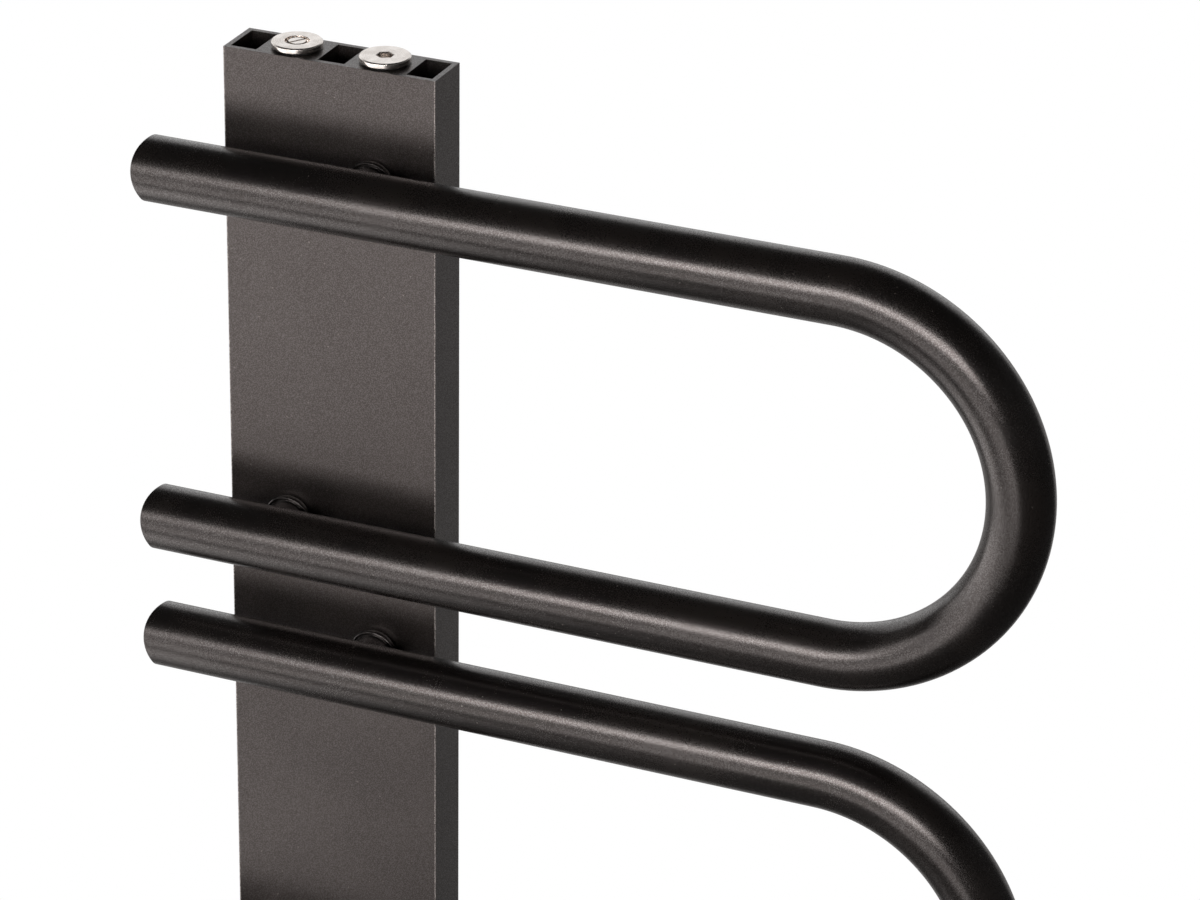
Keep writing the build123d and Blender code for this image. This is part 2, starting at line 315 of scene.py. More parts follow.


# Powder coat: fine glinting grain on an orange-peel skin, faint brown clouds, a few pale flecks and, along
# given edges, a painted highlight.
# The grain is turned, because a flat face along the noise's own lattice would lose it
def blackCoat(name, look, edges=None):
    material, graph = newFinish(name)
    place = graph.place()
    turned = graph.add("ShaderNodeMapping", {"vector_type": "POINT"},
                       {"Vector": place, "Rotation": look["grainTurn"]})
    grain = graph.noise(turned, look["grainPerMetre"], detail=1.0, roughness=0.6)
    peel = graph.noise(turned, look["peelPerMetre"], detail=1.0)
    cloud = graph.noise(place, look["cloudPerMetre"], detail=4.0, roughness=0.6).smooth(*look["cloudRange"])
    fleck = graph.noise(place, look["fleckPerMetre"], detail=0.0).smooth(*look["fleckRange"])
    glint = grain.smooth(*look["glintRange"])
    tone = graph.blend(glint, look["dark"], look["light"])
    tone = graph.blend(cloud * look["brownShare"], tone, look["brown"])
    tone = graph.blend(fleck * look["fleckShare"], tone, look["fleck"])
    # A dotted pale line along the long edges: a painted highlight, not wear
    if edges:
        paintedHighlight = longEdges(graph, place, *edges) * grain.smooth(*look["paintedHighlightRange"])
        tone = graph.blend(paintedHighlight * look["paintedHighlightShare"], tone, look["paintedHighlight"])
    offGrain, offCloud = grain - 0.5, cloud - 0.5        # noise round 0
    roughness = look["roughness"] + offGrain * look["grainRoughness"] + offCloud * look["cloudRoughness"]
    sheen = look["sheen"] + glint * look["sparkle"] + offCloud * look["cloudSheen"]
    height = grain * look["grainHeight"] + peel * look["peelHeight"]
    graph.principled({
        "Base Color": tone, "Roughness": roughness, "Specular IOR Level": look["specular"],
        "Specular Tint": look["tint"], "Coat Weight": sheen, "Coat Roughness": look["skin"],
        "Normal": graph.bump(height, look)})
    return material


nickelLook = {"bright": rgb(0.86, 0.81, 0.77), "dull": rgb(0.70, 0.65, 0.61), "ringsPerMetre": 2600.0,
              "hazePerMetre": 160.0, "hazeRange": (0.35, 0.70), "roughness": 0.17, "ringRoughness": 0.10,
              "hazeRoughness": 0.08, "bump": 0.10, "bumpDepth": 0.02 * mm}


# Turned and plated metal: fine rings round the piece's own axis, a little haze in the shine
def nickel(name, centre, look):
    material, graph = newFinish(name)
    place = graph.place()
    local = graph.add("ShaderNodeMapping", {"vector_type": "POINT"},
                      {"Vector": place, "Location": tuple(-np.array(centre, float))})
    flat = graph.vector("MULTIPLY", local, (1.0, 1.0, 0.0))
    radius = graph.vector("LENGTH", flat, output="Value")
    rings = graph.add("ShaderNodeTexNoise", {"noise_dimensions": "1D"},
                      {"W": radius, "Scale": look["ringsPerMetre"], "Detail": 2.0})
    haze = graph.noise(place, look["hazePerMetre"], detail=3.0)
    tone = graph.blend(haze.smooth(*look["hazeRange"]), look["bright"], look["dull"])
    roughness = look["roughness"] + rings * look["ringRoughness"] + haze * look["hazeRoughness"]
    graph.principled({"Base Color": tone, "Metallic": 1.0, "Roughness": roughness,
                      "Normal": graph.bump(rings, look)})
    return material


zincLook = {"first": rgb(0.60, 0.61, 0.63), "second": rgb(0.46, 0.47, 0.50), "grainPerMetre": 700.0,
            "cloudPerMetre": 60.0, "cloudRange": (0.35, 0.70), "roughness": 0.30, "grainRoughness": 0.20,
            "cloudRoughness": 0.15, "bump": 0.15, "bumpDepth": 0.03 * mm}
brassLook = dict(zincLook, first=rgb(0.78, 0.59, 0.30), second=rgb(0.64, 0.46, 0.22), grainPerMetre=2200.0,
                 cloudPerMetre=300.0, roughness=0.26)


# Plated or plain metal, mottled, with a fine grain in its shine
def plainMetal(name, look):
    material, graph = newFinish(name)
    place = graph.place()
    grain = graph.noise(place, look["grainPerMetre"], detail=3.0, roughness=0.6)
    cloud = graph.noise(place, look["cloudPerMetre"], detail=4.0, roughness=0.55)
    tone = graph.blend(cloud.smooth(*look["cloudRange"]), look["first"], look["second"])
    offGrain, offCloud = grain - 0.5, cloud - 0.5
    roughness = look["roughness"] + offGrain * look["grainRoughness"] + offCloud * look["cloudRoughness"]
    graph.principled({"Base Color": tone, "Metallic": 1.0, "Roughness": roughness,
                      "Normal": graph.bump(grain, look)})
    return material


rubberLook = {"dark": rgb(0.011, 0.011, 0.011), "dusty": rgb(0.035, 0.034, 0.033), "grainPerMetre": 1400.0,
              "dustRange": (0.45, 0.80), "roughness": 0.55, "grainRoughness": 0.30, "bump": 0.3,
              "bumpDepth": 0.05 * mm}


# Matt rubber, a little dusty
def sealRubber(name, look):
    material, graph = newFinish(name)
    grain = graph.noise(graph.place(), look["grainPerMetre"], detail=3.0, roughness=0.6)
    tone = graph.blend(grain.smooth(*look["dustRange"]), look["dark"], look["dusty"])
    roughness = look["roughness"] + grain * look["grainRoughness"]
    graph.principled({"Base Color": tone, "Roughness": roughness, "Normal": graph.bump(grain, look)})
    return material


tubeCoat = blackCoat("tubeCoat", tubeCoatLook)
bracketCoat = blackCoat("bracketCoat", bracketCoatLook)
zincSteel = plainMetal("zincSteel", zincLook)
needleBrass = plainMetal("needleBrass", brassLook)
rubber = sealRubber("sealRubber", rubberLook)
print("finishes ready")


# Column: an extrusion with two water channels between three open chambers

# One of these widths is that of the painted highlight along the column's long edges
columnShape = {"wall": 3.0 * mm, "channelRadius": 8.5 * mm, "portRadius": 9.3 * mm, "portDepth": 16.0 * mm,
               "blockWidth": 35.0 * mm, "perSide": 24, "edge": 0.45 * mm, "paintedHighlightWidth": 0.9 * mm,
               "sharpAngle": 40.0, "threadPitch": 1.814 * mm, "threadDepth": 1.1 * mm, "rowsPerPitch": 14,
               "mouthDepth": 1.2 * mm}
columnLow, columnHigh = nodeBox("column")
ventLow, ventHigh = nodeBox("vent_plug")
blindLow, blindHigh = nodeBox("blind_plug")
returnX = (ventLow[0] + ventHigh[0]) / 2
supplyX = (blindLow[0] + blindHigh[0]) / 2
channelY = (ventLow[1] + ventHigh[1]) / 2


# Female thread: radius(a, z) = core + depth * fade(z) * (1 - cos(2 pi (z / pitch + a / 2 pi))) / 2,
# where fade falls to 0 at the thread's inner end and a wide mouth leads in at the other
def threadedPort(outline, centre, shape, zMouth):
    rows = int(shape["portDepth"] / shape["threadPitch"] * shape["rowsPerPitch"])
    depth = np.linspace(shape["portDepth"], 0.0, rows)[:, None]
    ray = outline - np.array(centre)
    angle = np.arctan2(ray[:, 1], ray[:, 0])[None, :]
    wave = 0.5 - 0.5 * np.cos(2 * np.pi * depth / shape["threadPitch"] + angle)
    fade = np.clip((shape["portDepth"] - depth) / (2 * shape["threadPitch"]), 0.0, 1.0)
    mouth = np.clip(1.0 - depth / shape["mouthDepth"], 0.0, 1.0)
    radius = shape["portRadius"] + shape["threadDepth"] * np.maximum(fade * wave, mouth)
    unit = ray / np.linalg.norm(ray, axis=1, keepdims=True)
    flat = np.array(centre) + radius[..., None] * unit
    height = np.broadcast_to(zMouth + depth, radius.shape)
    return np.concatenate([flat, height[..., None]], axis=2)


# Five cells side by side, each an outline round its own hole, from the top face down the hole to the
# bottom face, and one wall round them all
def columnShells(shape):
    (xLow, yLow, zLow), (xHigh, yHigh, zHigh) = columnLow, columnHigh
    perSide, wall, half = shape["perSide"], shape["wall"], shape["blockWidth"] / 2
    chambers = [(xLow + wall, returnX - half), (returnX + half, supplyX - half),
                (supplyX + half, xHigh - wall)]
    seam = (half + shape["portRadius"]) / 2
    bounds = [xLow, returnX - seam, returnX + seam, supplyX - seam, supplyX + seam, xHigh]
    portFloor = zHigh - shape["portDepth"]
    shells = []
    for cell in range(len(bounds) - 1):
        outline = rectangleOutline(bounds[cell], bounds[cell + 1], yLow, yHigh, perSide)
        if cell % 2 == 0:
            left, right = chambers[cell // 2]
            hole = rectangleOutline(left, right, yLow + wall, yHigh - wall, perSide)
            middle = [lifted(hole, zHigh, "xy"), lifted(hole, zLow, "xy")]
        else:
            centre = (returnX if cell == 1 else supplyX, channelY)
            port = roundHole(outline, centre, shape["portRadius"])
            channel = roundHole(outline, centre, shape["channelRadius"])
            middle = [lifted(port, zHigh, "xy"), lifted(port, portFloor, "xy"),
                      lifted(channel, portFloor, "xy"), lifted(channel, zLow + shape["portDepth"], "xy")]
            middle += list(threadedPort(outline, centre, shape, zLow))
        rows = [lifted(outline, zHigh, "xy")] + middle + [lifted(outline, zLow, "xy")]
        shells.append(gridShell(np.array(rows)))
    t = np.linspace(0.0, 1.0, perSide, endpoint=False)
    front = np.concatenate([low + (high - low) * t for low, high in zip(bounds[:-1], bounds[1:])])
    back = np.concatenate([high + (low - high) * t for low, high in zip(bounds[-2::-1], bounds[:0:-1])])
    sideY = yLow + (yHigh - yLow) * t
    backY = yHigh + (yLow - yHigh) * t
    x = np.concatenate([front, np.full(perSide, xHigh), back, np.full(perSide, xLow)])
    y = np.concatenate([np.full(len(front), yLow), sideY, np.full(len(back), yHigh), backY])
    around = np.column_stack([x, y])
    shells.append(gridShell(np.array([lifted(around, zHigh, "xy"), lifted(around, zLow, "xy")])))
    return shells


# The column's coat carries the painted highlight along its long edges
columnCoat = blackCoat("columnCoat", columnCoatLook, (columnLow, columnHigh, columnShape["paintedHighlightWidth"]))
makePiece("column", columnShells(columnShape), columnCoat, "rack", ["column"],
          columnShape["sharpAngle"], columnShape["edge"])
print("column made")


# Loops: a hairpin tube, a cap on each end and a boss behind each leg

tubeShape = {"wall": 2.0 * mm, "sides": 96, "legSteps": 14, "bendSteps": 84}
capShape = {"rim": 0.8 * mm, "spigot": 9.0 * mm, "wall": 2.0 * mm, "fit": 0.05 * mm, "rows": 40, "sides": 96,
            "shoulder": 0.75}
bossShape = {"neckRadius": 11.5 * mm, "flange": 3.0 * mm, "bevel": 0.6 * mm, "bore": 6.05 * mm,
             "sunk": 0.3 * mm, "sides": 96, "edge": 0.25 * mm}


class Loop:
    def __init__(self, number):
        low, high = nodeBox(f"loop_{number}_tube")
        self.number = number
        self.radius = (high[1] - low[1]) / 2
        self.legY = (high[1] + low[1]) / 2
        self.legs = {"upper": high[2] - self.radius, "lower": low[2] + self.radius}
        self.endX = low[0]
        self.bendRadius = (self.legs["upper"] - self.legs["lower"]) / 2
        self.bendX = high[0] - self.radius - self.bendRadius


# The centre line runs along one leg, round the bend and back; out(s) points away from the bend's centre.
# point(s, a) = centreLine(s) + r * (cos a * out(s) + sin a * y)
def hairpinRings(loop, radius, shape):
    legX = np.linspace(loop.endX, loop.bendX, shape["legSteps"], endpoint=False)
    turn = np.linspace(np.pi / 2, -np.pi / 2, shape["bendSteps"] + 1)
    x = np.concatenate([legX, loop.bendX + loop.bendRadius * np.cos(turn), legX[::-1]])
    turn = np.concatenate([np.full(len(legX), np.pi / 2), turn, np.full(len(legX), -np.pi / 2)])
    middleZ = (loop.legs["upper"] + loop.legs["lower"]) / 2
    centreLine = np.column_stack([x, np.full(len(x), loop.legY), middleZ + loop.bendRadius * np.sin(turn)])
    onBend = (x >= loop.bendX)[:, None]
    level = np.column_stack([np.zeros(len(x)), np.zeros(len(x)), np.sign(np.sin(turn))])
    out = np.where(onBend, np.column_stack([np.cos(turn), np.zeros(len(x)), np.sin(turn)]), level)
    angle = stepAngles(shape["sides"])
    ring = np.cos(angle)[None, :, None] * out[:, None, :]
    ring = ring + np.sin(angle)[None, :, None] * np.array([0.0, 1.0, 0.0])
    return centreLine[:, None, :] + radius * ring


# Rings of the outside to the far end and rings of the bore back again, so that both ends show the wall
def tubeShell(loop, shape):
    outer = hairpinRings(loop, loop.radius, shape)
    bore = hairpinRings(loop, loop.radius - shape["wall"], shape)
    return gridShell(np.concatenate([outer, bore[::-1]]), loopRows=True)


# A crown cut from a ball of radius B = (R^2 + rise^2) / (2 rise): radius(t) = B sin t and
# height(t) = rim + rise - B (1 - cos t), then the rim and the hollow spigot inside the tube
def capShell(loop, leg, shape):
    rise = loop.endX - nodeBox(f"loop_{loop.number}_{leg}_cap")[0][0] - shape["rim"]
    ball = (loop.radius ** 2 + rise ** 2) / (2 * rise)
    t = np.linspace(0.0, math.asin(loop.radius / ball), shape["rows"])
    crown = np.column_stack([ball * np.sin(t), shape["rim"] + rise - ball * (1 - np.cos(t))])
    spigot = loop.radius - tubeShape["wall"] - shape["fit"]
    inside = spigot - shape["wall"]
    rest = [(loop.radius, 0.0), (spigot, 0.0), (spigot, -shape["spigot"]), (inside, -shape["spigot"]),
            (inside, 0.0), (0.0, 0.0)]
    profile = np.vstack([crown, rest])
    centre = (loop.endX, loop.legY, loop.legs[leg])
    return gridShell(spin(profile[:, 0], -profile[:, 1], centre, "x", shape["sides"]))


# The coat flows over the crown's edge, so the shading keeps the tube's direction out to the shoulder:
# normal = cos(b) * outwards - sin(b) * x, where b falls from a right angle at the middle to 0 at the shoulder
def flowOver(cap, loop, leg, shape):
    mesh = cap.data
    points = np.empty(len(mesh.vertices) * 3)
    mesh.vertices.foreach_get("co", points)
    points = points.reshape(-1, 3)
    spoke = points - np.array([0.0, loop.legY, loop.legs[leg]])
    spoke[:, 0] = 0.0
    radius = np.linalg.norm(spoke, axis=1, keepdims=True)
    share = np.clip(radius / (loop.radius * shape["shoulder"]), 0.0, 1.0)
    lean = np.pi / 2 * (1 - share ** 2 * (3 - 2 * share))
    normal = np.cos(lean) * spoke / np.maximum(radius, tiny) - np.sin(lean) * np.array([1.0, 0.0, 0.0])
    onCrown = (points[:, :1] < loop.endX - shape["rim"] / 2) | (radius > loop.radius - shape["fit"])
    mesh.normals_split_custom_set_from_vertices(np.where(onCrown, normal, 0.0).tolist())


# A turned flange and neck whose far end follows the tube's back: y = leg axis + sqrt(R^2 - z^2)
def bossShell(loop, leg, shape):
    low, high = nodeBox(f"loop_{loop.number}_{leg}_boss")
    centre = ((low[0] + high[0]) / 2, high[1], loop.legs[leg])
    flange, neck, bore = (high[0] - low[0]) / 2, shape["neckRadius"], shape["bore"]
    profile = [(bore, 0.0), (flange, 0.0), (flange, shape["flange"] - shape["bevel"]),
               (flange - shape["bevel"], shape["flange"]), (neck, shape["flange"]),
               (neck, 2 * shape["flange"])]
    profile = softCorners(profile, shape["edge"], closed=False)
    sides = shape["sides"]
    turned = np.repeat(profile[:, :1], sides, axis=1)
    radius = np.vstack([turned, np.full((1, sides), neck), np.full((1, sides), bore)])
    along = np.repeat(profile[:, 1:], sides, axis=1)
    saddleZ = radius[-2:] * np.cos(stepAngles(sides))
    saddle = high[1] - loop.legY - np.sqrt(loop.radius ** 2 - saddleZ ** 2) + shape["sunk"]
    rings = spin(radius, -np.vstack([along, saddle]), centre, "y", sides)
    return gridShell(rings, loopRows=True)


loops = [Loop(number) for number in range(1, loopCount + 1)]
for loop in loops:
    node = f"loop_{loop.number}"
    makePiece(f"loopTube{loop.number}", [tubeShell(loop, tubeShape)], tubeCoat, "rack",
              [f"{node}_tube"])
    for leg in loop.legs:
        label = f"{leg.capitalize()}{loop.number}"
        cap = makePiece(f"cap{label}", [capShell(loop, leg, capShape)], tubeCoat, "rack",
                        [f"{node}_{leg}_cap"])
        flowOver(cap, loop, leg, capShape)
        makePiece(f"boss{label}", [bossShell(loop, leg, bossShape)], tubeCoat, "rack",
                  [f"{node}_{leg}_boss"])
print("loops made")


# Seals, hollow bolts and washers of the joints to the column

sealShape = {"inner": 7.0 * mm, "outer": 11.5 * mm, "edge": 0.5 * mm, "sides": 72}
washerShape = {"inner": 6.3 * mm, "edge": 0.4 * mm, "sides": 72}
boltShape = {"flats": 19.0 * mm, "head": 7.0 * mm, "shank": 6.0 * mm, "water": 3.2 * mm, "boreEnd": 20.0 * mm,
             "chamfer": 30.0, "chamferDrop": 1.6 * mm, "crownShare": 0.95, "sides": 96, "topRows": 10}
bossPlaces = []
for loop in loops:
    for leg, legZ in loop.legs.items():
        low, high = nodeBox(f"loop_{loop.number}_{leg}_boss")
        bossPlaces.append(((low[0] + high[0]) / 2, high[1], legZ))


# A flat ring: a soft-cornered rectangle, inner to outer radius and front to back, spun round y
def ringShell(shape, outer, yFront, yBack, place):
    inner = shape["inner"]
    profile = softCorners([(inner, yFront), (outer, yFront), (outer, yBack), (inner, yBack)], shape["edge"])
    rings = spin(profile[:, 0], profile[:, 1], (place[0], 0.0, place[2]), "y", shape["sides"])
    return gridShell(rings, loopRows=True)


# Hexagon head with a turned chamfer, radius(a, y) = min(hexagon(a), crown + (top - y) / tan 30), then the
# shank and its water bore
def boltShell(place, shape):
    low, high = nodeBox("hollow_bolts")
    tip, top, sides = low[1], high[1], shape["sides"]
    seat = top - shape["head"]
    hexagon = hexRadius(shape["flats"], sides)
    crown = shape["flats"] / 2 * shape["crownShare"]
    drop = np.linspace(shape["chamferDrop"], 0.0, shape["topRows"])[:, None]
    chamfered = np.minimum(hexagon[None, :], crown + drop / math.tan(math.radians(shape["chamfer"])))
    below = np.array([0.0, shape["water"], shape["water"], shape["shank"], shape["shank"]])
    belowY = np.array([tip + shape["boreEnd"], tip + shape["boreEnd"], tip, tip, seat])
    shank = np.repeat(below[:, None], sides, axis=1)
    radius = np.vstack([shank, hexagon[None, :], chamfered, np.zeros((1, sides))])
    height = np.concatenate([belowY, [seat], (top - drop)[:, 0], [top]])
    return gridShell(spin(radius, height, (place[0], 0.0, place[2]), "y", sides))


washerLow, washerHigh = nodeBox("bolt_washers")
washerOuter = washerHigh[0] - supplyX
makePiece("bossSeals", [ringShell(sealShape, sealShape["outer"], place[1], columnLow[1], place)
                        for place in bossPlaces], rubber, "rack", ["boss_seals"])
makePiece("boltWashers", [ringShell(washerShape, washerOuter, washerLow[1], washerHigh[1], place)
                          for place in bossPlaces], rubber, "rack", ["bolt_washers"])
makePiece("hollowBolts", [boltShell(place, boltShape) for place in bossPlaces], zincSteel, "rack",
          ["hollow_bolts"])
print("joints to the column made")


# Plugs in the two top ports

plugShape = {"shank": 9.25 * mm, "bevel": 0.6 * mm, "edge": 0.18 * mm, "sides": 144}
ventShape = {"recess": 6.5 * mm, "recessDepth": 2.4 * mm, "bore": 2.55 * mm, "screwLength": 4.6 * mm,
             "boreBelow": 2.2 * mm, "seat": 1.6 * mm, "air": 1.0 * mm}
socketShape = {"flats": 8.0 * mm, "depth": 4.5 * mm, "chamfer": 0.35 * mm}
screwShape = {"head": 1.9 * mm, "shank": 2.5 * mm, "slotWidth": 1.3 * mm, "slotDepth": 1.0 * mm,
              "slotAngle": 58.0, "sideSteps": 24, "slotSteps": 5, "faceSteps": 25, "sharpAngle": 40.0,
              "edge": 0.12 * mm}


# The plated flange and plain shank that both plugs share, from the middle of the bottom up to the top's rim
def plugOutside(low, high, seatZ, shape, start):
    flange = (high[0] - low[0]) / 2
    return [(start, low[2]), (shape["shank"], low[2]), (shape["shank"], seatZ), (flange, seatZ),
            (flange, high[2] - shape["bevel"]), (flange - shape["bevel"], high[2])]


# The shared outside, then down the recess, the screw's bore and the cone to the air hole, spun round z
def ventPlugShell(shape):
    seatZ = nodeBox("vent_plug_seal")[1][2]
    floor = ventHigh[2] - shape["recessDepth"]
    seatTop = floor - shape["screwLength"] - shape["boreBelow"]
    profile = plugOutside(ventLow, ventHigh, seatZ, plugShape, shape["air"])
    profile += [(shape["recess"], ventHigh[2]), (shape["recess"], floor), (shape["bore"], floor),
                (shape["bore"], seatTop), (shape["air"], seatTop - shape["seat"])]
    profile = softCorners(profile, plugShape["edge"])
    rings = spin(profile[:, 0], profile[:, 1], (returnX, channelY, 0.0), "z", plugShape["sides"])
    return gridShell(rings, loopRows=True)


# The same plug with a hexagon socket: its last rows follow the hexagon's radius(a)
def blindPlugShell(shape):
    seatZ = nodeBox("blind_plug_seal")[1][2]
    sides = plugShape["sides"]
    top, floor = blindHigh[2], blindHigh[2] - shape["depth"]
    profile = plugOutside(blindLow, blindHigh, seatZ, plugShape, 0.0)
    profile = softCorners(profile, plugShape["edge"], closed=False)
    hexagon = hexRadius(shape["flats"], sides)
    mouth = hexagon + shape["chamfer"]
    radius = np.vstack([np.repeat(profile[:, :1], sides, axis=1), mouth, hexagon, hexagon, np.zeros(sides)])
    height = np.concatenate([profile[:, 1], [top, top - shape["chamfer"], floor, floor]])
    return gridShell(spin(radius, height, (supplyX, channelY, 0.0), "z", sides))


# Head top: x = v sqrt(R^2 - y(u)^2), y = y(u), z = z(u), with the slot's section in z(u); its rim drops to
# the underside, and the same rim drawn in to the shank's radius runs down to the tip
def ventScrewShells(shape):
    low, high = nodeBox("vent_screw")
    head, top = (high[0] - low[0]) / 2, high[2]
    half = shape["slotWidth"] / 2
    arc = np.sin(np.linspace(-np.pi / 2, -math.asin(half / head), shape["sideSteps"])) * head
    y = np.concatenate([arc, np.linspace(-half, half, shape["slotSteps"]), -arc[::-1]])
    land = np.full(shape["sideSteps"], top)
    z = np.concatenate([land, np.full(shape["slotSteps"], top - shape["slotDepth"]), land])
    halfWidth = np.sqrt(np.maximum(head ** 2 - y ** 2, 0.0))
    x = halfWidth[:, None] * np.linspace(-1.0, 1.0, shape["faceSteps"])
    face = np.stack([x, np.broadcast_to(y[:, None], x.shape), np.broadcast_to(z[:, None], x.shape)], axis=2)
    rim = np.concatenate([face[:, -1], face[::-1, 0]])
    under = top - shape["head"]
    flatRim = rim[:, :2]
    drawn = flatRim * shape["shank"] / head
    rows = [rim, lifted(flatRim, under, "xy"), lifted(drawn, under, "xy"), lifted(drawn, low[2], "xy"),
            lifted(flatRim * 0.0, low[2], "xy")]
    turn = np.array(Matrix.Rotation(math.radians(shape["slotAngle"]), 3, "Z"))
    centre = np.array([returnX, channelY, 0.0])
    return [gridShell(face @ turn.T + centre, loopColumns=False), gridShell(np.array(rows) @ turn.T + centre)]


ventNickel = nickel("ventNickel", (returnX, channelY, 0.0), nickelLook)
blindNickel = nickel("blindNickel", (supplyX, channelY, 0.0), nickelLook)
makePiece("ventPlug", [ventPlugShell(ventShape)], ventNickel, "rack", ["vent_plug"])
makePiece("blindPlug", [blindPlugShell(socketShape)], blindNickel, "rack", ["blind_plug"])
makePiece("ventScrew", ventScrewShells(screwShape), ventNickel, "screw", ["vent_screw"],
          screwShape["sharpAngle"], screwShape["edge"])
print("plugs made")


# Wall brackets: plate with two screw holes and a sleeve, a sliding pin and a grub screw from below

plateShape = {"thickness": 4.0 * mm, "corner": 6.0 * mm, "screwX": 28.0 * mm, "screwRadius": 2.75 * mm,
              "sleeve": 11.0 * mm, "bore": 8.05 * mm, "perSide": 24, "sharpAngle": 40.0, "edge": 0.5 * mm}
pinShape = {"radius": 8.0 * mm, "bevel": 1.0 * mm, "foot": 5.0 * mm, "stud": 5.0 * mm, "edge": 0.3 * mm,
            "sides": 96}
grubShape = {"flats": 2.5 * mm, "depth": 2.5 * mm, "bevel": 0.3 * mm, "sides": 48}


# Points past a corner's centre are drawn along their ray on to the corner's arc
def roundedCorners(outline, halfU, halfV, middleV, radius):
    centre = np.array([halfU - radius, halfV - radius])
    local = outline - np.array([0.0, middleV])
    side = np.where(local < 0, -1.0, 1.0)
    ray = np.abs(local) - centre
    length = np.maximum(np.linalg.norm(ray, axis=1, keepdims=True), tiny)
    past = np.all(ray > 0, axis=1)[:, None]
    return np.where(past, side * (centre + ray / length * radius), local) + np.array([0.0, middleV])


# Three cells side by side, a screw hole, the sleeve and a screw hole, and one edge round them all
def plateShells(node, shape):
    low, high = nodeBox(node)
    halfU, halfV, z = high[0], (high[2] - low[2]) / 2, (low[2] + high[2]) / 2
    perSide, front, back = shape["perSide"], -shape["thickness"], 0.0
    seam = (shape["sleeve"] + shape["screwX"]) / 2
    bounds = [-halfU, -seam, seam, halfU]
    shells = []
    for cell, centreX in enumerate((-shape["screwX"], 0.0, shape["screwX"])):
        outline = rectangleOutline(bounds[cell], bounds[cell + 1], low[2], high[2], perSide)
        edge = roundedCorners(outline, halfU, halfV, z, shape["corner"])
        centre = (centreX, z)
        if centreX:
            hole = roundHole(outline, centre, shape["screwRadius"])
            rows = [lifted(edge, back, "xz"), lifted(hole, back, "xz"), lifted(hole, front, "xz"),
                    lifted(edge, front, "xz")]
            shells.append(gridShell(np.array(rows)))
            continue
        middle = np.broadcast_to(np.array(centre), outline.shape)
        sleeve = roundHole(outline, centre, shape["sleeve"])
        bore = roundHole(outline, centre, shape["bore"])
        rows = [lifted(edge, front, "xz"), lifted(sleeve, front, "xz"), lifted(sleeve, low[1], "xz"),
                lifted(bore, low[1], "xz"), lifted(bore, front, "xz"), lifted(middle, front, "xz")]
        shells.append(gridShell(np.array(rows)))
        shells.append(gridShell(np.array([lifted(edge, back, "xz"), lifted(middle, back, "xz")])))
    t = np.linspace(0.0, 1.0, perSide, endpoint=False)
    across = np.concatenate([start + (end - start) * t for start, end in zip(bounds[:-1], bounds[1:])])
    rise = low[2] + (high[2] - low[2]) * t
    bottom, top = np.full(len(across), low[2]), np.full(len(across), high[2])
    u = np.concatenate([across, np.full(perSide, halfU), -across, np.full(perSide, -halfU)])
    v = np.concatenate([bottom, rise, top, high[2] + low[2] - rise])
    around = roundedCorners(np.column_stack([u, v]), halfU, halfV, z, shape["corner"])
    shells.append(gridShell(np.array([lifted(around, back, "xz"), lifted(around, front, "xz")])))
    return shells


# One profile spun round y: the bevelled pin, the wide foot against the column and the stud inside it
def pinShell(node, shape):
    low, high = nodeBox(node)
    footRadius, z = (high[0] - low[0]) / 2, (low[2] + high[2]) / 2
    footBack, footFront = columnHigh[1] + shape["foot"], columnHigh[1]
    profile = [(0.0, high[1]), (shape["radius"] - shape["bevel"], high[1]),
               (shape["radius"], high[1] - shape["bevel"]), (shape["radius"], footBack),
               (footRadius, footBack), (footRadius, footFront), (shape["stud"], footFront),
               (shape["stud"], low[1]), (0.0, low[1])]
    profile = softCorners(profile, shape["edge"], closed=False)
    return gridShell(spin(profile[:, 0], profile[:, 1], (0.0, 0.0, z), "y", shape["sides"]))


# A bevelled cylinder spun round z, whose last rows follow the hexagon's radius(a) up into its socket
def grubShell(node, shape):
    low, high = nodeBox(node)
    radius, y, sides = (high[0] - low[0]) / 2, (low[1] + high[1]) / 2, shape["sides"]
    hexagon = hexRadius(shape["flats"], sides)
    outside = np.array([0.0, radius - shape["bevel"], radius, radius, radius - shape["bevel"]])
    radii = np.vstack([np.repeat(outside[:, None], sides, axis=1), hexagon, hexagon, np.zeros(sides)])
    heights = [high[2], high[2], high[2] - shape["bevel"], low[2] + shape["bevel"], low[2], low[2],
               low[2] + shape["depth"], low[2] + shape["depth"]]
    return gridShell(spin(radii, heights, (0.0, y, 0.0), "z", sides))


for place in ("upper", "lower"):
    plateNode, pinNode, grubNode = f"{place}_bracket_plate", f"{place}_bracket_pin", f"{place}_grub_screw"
    makePiece(f"{place}WallPlate", plateShells(plateNode, plateShape), bracketCoat, "wall_brackets",
              [plateNode], plateShape["sharpAngle"], plateShape["edge"])
    makePiece(f"{place}Pin", [pinShell(pinNode, pinShape)], zincSteel, "rack", [pinNode])
    makePiece(f"{place}GrubScrew", [grubShell(grubNode, grubShape)], zincSteel, "wall_brackets",
              [grubNode])
print("brackets made")


# Nodes that keep their solid's shape take the same finishes

keptNodes = {"vent_needle": needleBrass, "vent_plug_seal": rubber, "blind_plug_seal": rubber,
             "upper_nut_plate": zincSteel, "lower_nut_plate": zincSteel}
for node, finish in keptNodes.items():
    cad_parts[node].data.materials.clear()
    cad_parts[node].data.materials.append(finish)


# Floor, light and camera

